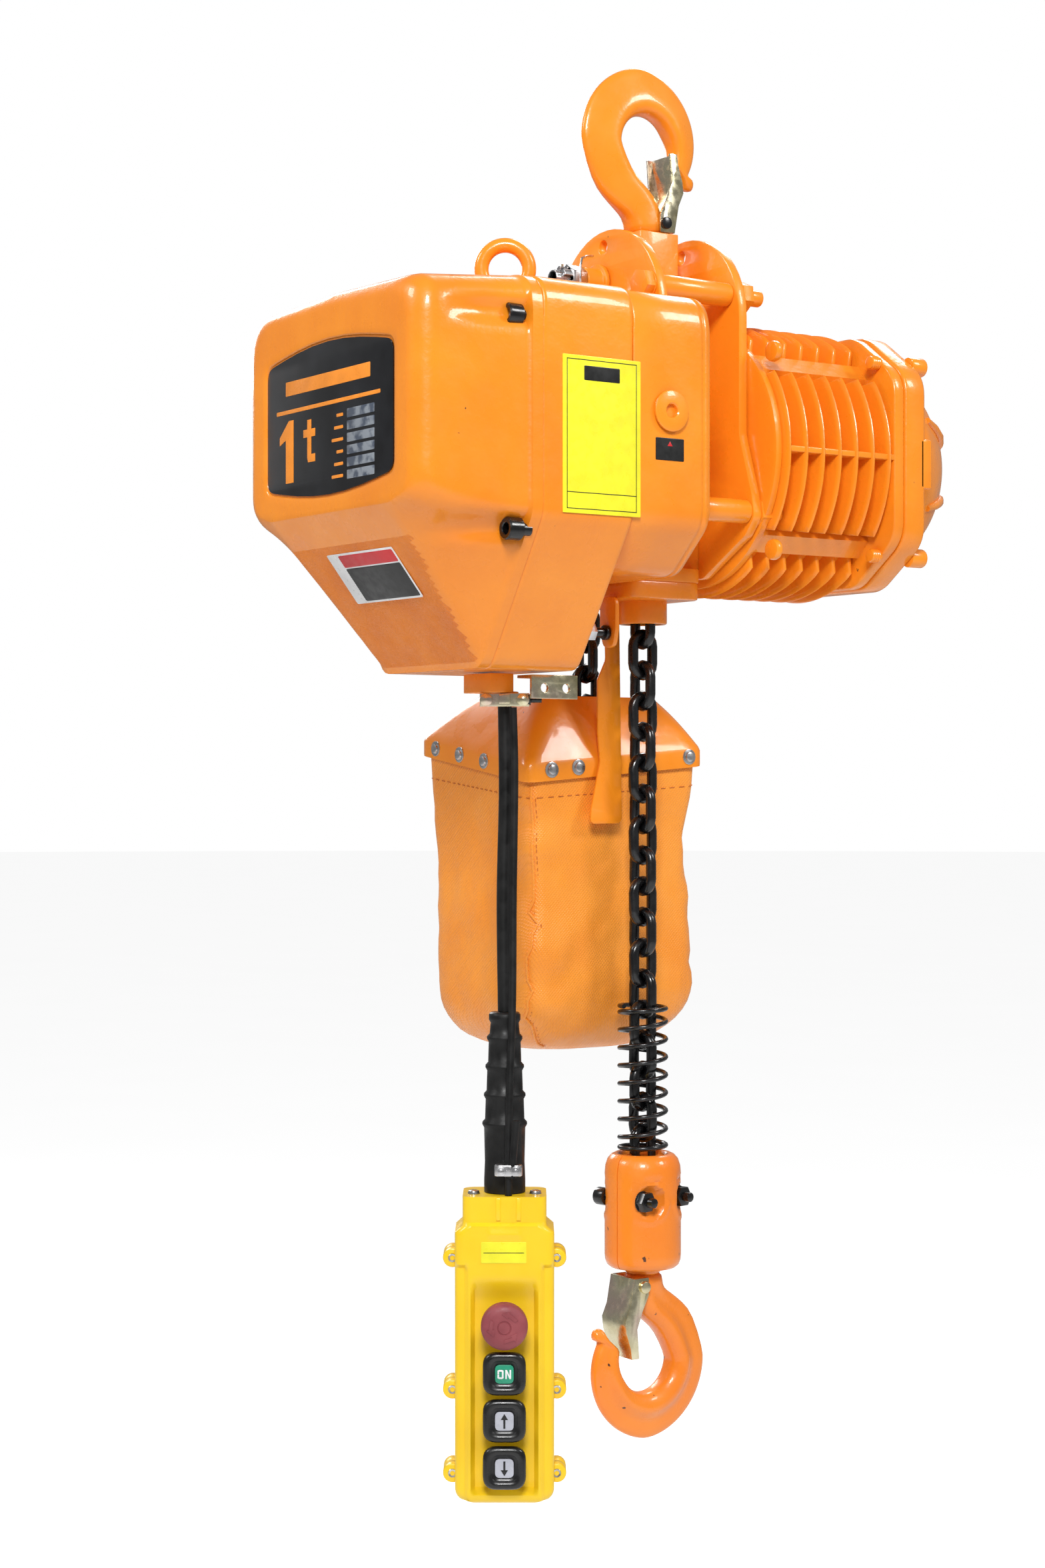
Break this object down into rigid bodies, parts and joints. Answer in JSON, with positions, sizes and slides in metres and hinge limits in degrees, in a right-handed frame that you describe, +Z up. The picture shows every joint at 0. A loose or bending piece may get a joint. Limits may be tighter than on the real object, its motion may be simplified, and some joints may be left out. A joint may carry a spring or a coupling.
{
  "type": "electric chain hoist",
  "caption": "Hook-suspended electric chain hoist with gearbox, finned motor, lifting wheel, load chain and hook block, chain bag and push-button pendant.",
  "frame": {"origin": "inside top of the suspension hook bowl, where the hoist hangs", "axes": "+Z up along the load line, +X along the motor axis from the control box towards the motor, -Y the side that faces the operator"},
  "size_m": [0.4921, 0.2835, 0.9478],
  "materials": {
    "orange_enamel": "gloss",
    "orange_casting": "gloss",
    "machined_steel": "satin",
    "blackened_steel": "satin",
    "yellow_zinc": "gloss",
    "windings": "satin",
    "pendant_yellow": "satin",
    "black_plastic": "satin",
    "red_plastic": "matte",
    "black_rubber": "matte",
    "orange_cloth": "matte",
    "nameplate_black": "gloss"
  },
  "bodies": {
    "top_hook": {"top_hook": "orange_enamel", "hook_retaining_nut": "machined_steel"},
    "top_latch": {"top_latch": "yellow_zinc"},
    "yoke": {"yoke_block": "orange_enamel"},
    "load_wheel": {"load_wheel": "machined_steel", "final_gear": "machined_steel"},
    "counter_gear": {"counter_gear": "machined_steel"},
    "rotor": {"rotor": "machined_steel"},
    "hook_block": {"load_chain": "blackened_steel", "hook_block_near": "orange_casting", "hook_block_far": "orange_casting", "block_bolt_left": "blackened_steel", "block_bolt_right": "blackened_steel", "buffer_spring": "blackened_steel"},
    "bottom_hook": {"bottom_hook": "orange_enamel"},
    "bottom_latch": {"bottom_latch": "yellow_zinc"},
    "slack_chain": {"slack_chain": "blackened_steel"},
    "pendant": {"pendant_cable": "black_rubber", "strain_wire": "black_rubber", "pendant_boot": "black_rubber", "pendant_front": "pendant_yellow", "pendant_back": "pendant_yellow", "switch_block": "black_plastic"},
    "e_stop": {"e_stop": "red_plastic"},
    "on_button": {"on_button": "black_plastic"},
    "up_button": {"up_button": "black_plastic"},
    "down_button": {"down_button": "black_plastic"},
    "hoist": {"bag_cloth": "orange_cloth", "bag_hanger": "orange_enamel", "bag_hood": "orange_enamel", "cable_bracket": "yellow_zinc", "cable_clamp": "yellow_zinc", "cable_gland": "orange_enamel", "castle_nut": "orange_enamel", "chain_guide": "orange_casting", "chain_on_wheel": "blackened_steel", "contactor": "black_plastic", "control_base": "orange_casting", "control_cover": "orange_casting", "control_transformer": "windings", "cover_screw_1": "blackened_steel", "cover_screw_2": "blackened_steel", "cover_screw_3": "blackened_steel", "cover_screw_4": "blackened_steel", "eyebolt": "orange_enamel", "gearbox_housing": "orange_casting", "left_plate": "orange_enamel", "motor_end_cover": "orange_casting", "motor_housing": "orange_casting", "nameplate": "nameplate_black", "oil_plug": "orange_enamel", "pin_washer": "orange_enamel", "right_plate": "orange_enamel", "stator": "windings", "tie_bolt_lower_far": "orange_enamel", "tie_bolt_lower_near": "orange_enamel", "tie_bolt_upper_far": "orange_enamel", "tie_bolt_upper_near": "orange_enamel", "wheel_housing": "orange_casting", "yoke_pin": "machined_steel"}
  },
  "joints": [
    {"name": "hook_swivel", "type": "hinge", "parent": "top_hook", "child": "yoke", "pos_m": [0, 0, -0.1], "axis": [0, 0, 1], "continuous": true},
    {"name": "top_latch_hinge", "type": "hinge", "parent": "top_hook", "child": "top_latch", "pos_m": [0.009, 0, -0.074], "axis": [0, -1, 0], "range_deg": [0, 28], "stiffness_Nm_per_rad": 0.12, "springref_deg": -22.92},
    {"name": "yoke_rock", "type": "hinge", "parent": "yoke", "child": "hoist", "pos_m": [0, 0, -0.118], "axis": [1, 0, 0], "range_deg": [-8, 8]},
    {"name": "rotor_spin", "type": "hinge", "parent": "hoist", "child": "rotor", "pos_m": [0.1, -0.008, -0.233], "axis": [1, 0, 0], "range_deg": [-2059.14, 3087.71]},
    {"name": "counter_spin", "type": "hinge", "parent": "hoist", "child": "counter_gear", "pos_m": [-0.07, 0.03229, -0.21401], "axis": [1, 0, 0], "range_deg": [-515.3, 343.9]},
    {"name": "wheel_spin", "type": "hinge", "parent": "hoist", "child": "load_wheel", "pos_m": [0, 0.03342, -0.262], "axis": [1, 0, 0], "range_deg": [-69.1, 103.4]},
    {"name": "lift", "type": "slide", "parent": "hoist", "child": "hook_block", "axis": [0, 0, 1], "range_m": [-0.06, 0.04], "deforming": ["chain_on_wheel"]},
    {"name": "slack_run", "type": "slide", "parent": "hoist", "child": "slack_chain", "axis": [0, 0, 1], "range_m": [-0.0405, 0.0605]},
    {"name": "lower_hook_swivel", "type": "hinge", "parent": "hook_block", "child": "bottom_hook", "pos_m": [0, 0, -0.76], "axis": [0, 0, 1], "continuous": true},
    {"name": "bottom_latch_hinge", "type": "hinge", "parent": "bottom_hook", "child": "bottom_latch", "pos_m": [-0.009, 0, -0.795], "axis": [0, -1, 0], "range_deg": [0, 28], "stiffness_Nm_per_rad": 0.12, "springref_deg": -22.92},
    {"name": "pendant_swing", "type": "hinge", "parent": "hoist", "child": "pendant", "pos_m": [-0.125, -0.018, -0.4043], "axis": [0.5592, 0.829, 0], "range_deg": [-12, 12], "deforming": ["pendant_cable", "strain_wire"]},
    {"name": "e_stop_press", "type": "slide", "parent": "pendant", "child": "e_stop", "axis": [0.5592, 0.829, 0], "range_m": [0, 0.004], "stiffness_N_per_m": 300, "springref_m": -0.003},
    {"name": "on_button_press", "type": "slide", "parent": "pendant", "child": "on_button", "axis": [0.5592, 0.829, 0], "range_m": [0, 0.004], "stiffness_N_per_m": 300, "springref_m": -0.003},
    {"name": "up_button_press", "type": "slide", "parent": "pendant", "child": "up_button", "axis": [0.5592, 0.829, 0], "range_m": [0, 0.004], "stiffness_N_per_m": 300, "springref_m": -0.003},
    {"name": "down_button_press", "type": "slide", "parent": "pendant", "child": "down_button", "axis": [0.5592, 0.829, 0], "range_m": [0, 0.004], "stiffness_N_per_m": 300, "springref_m": -0.003}
  ],
  "couplings": [
    {"joint": "rotor_spin", "follows": "lift", "rad_per_m": -897.6},
    {"joint": "counter_spin", "follows": "lift", "rad_per_m": 149.6},
    {"joint": "wheel_spin", "follows": "lift", "rad_per_m": -29.92},
    {"joint": "slack_run", "follows": "lift", "ratio": -1}
  ]
}
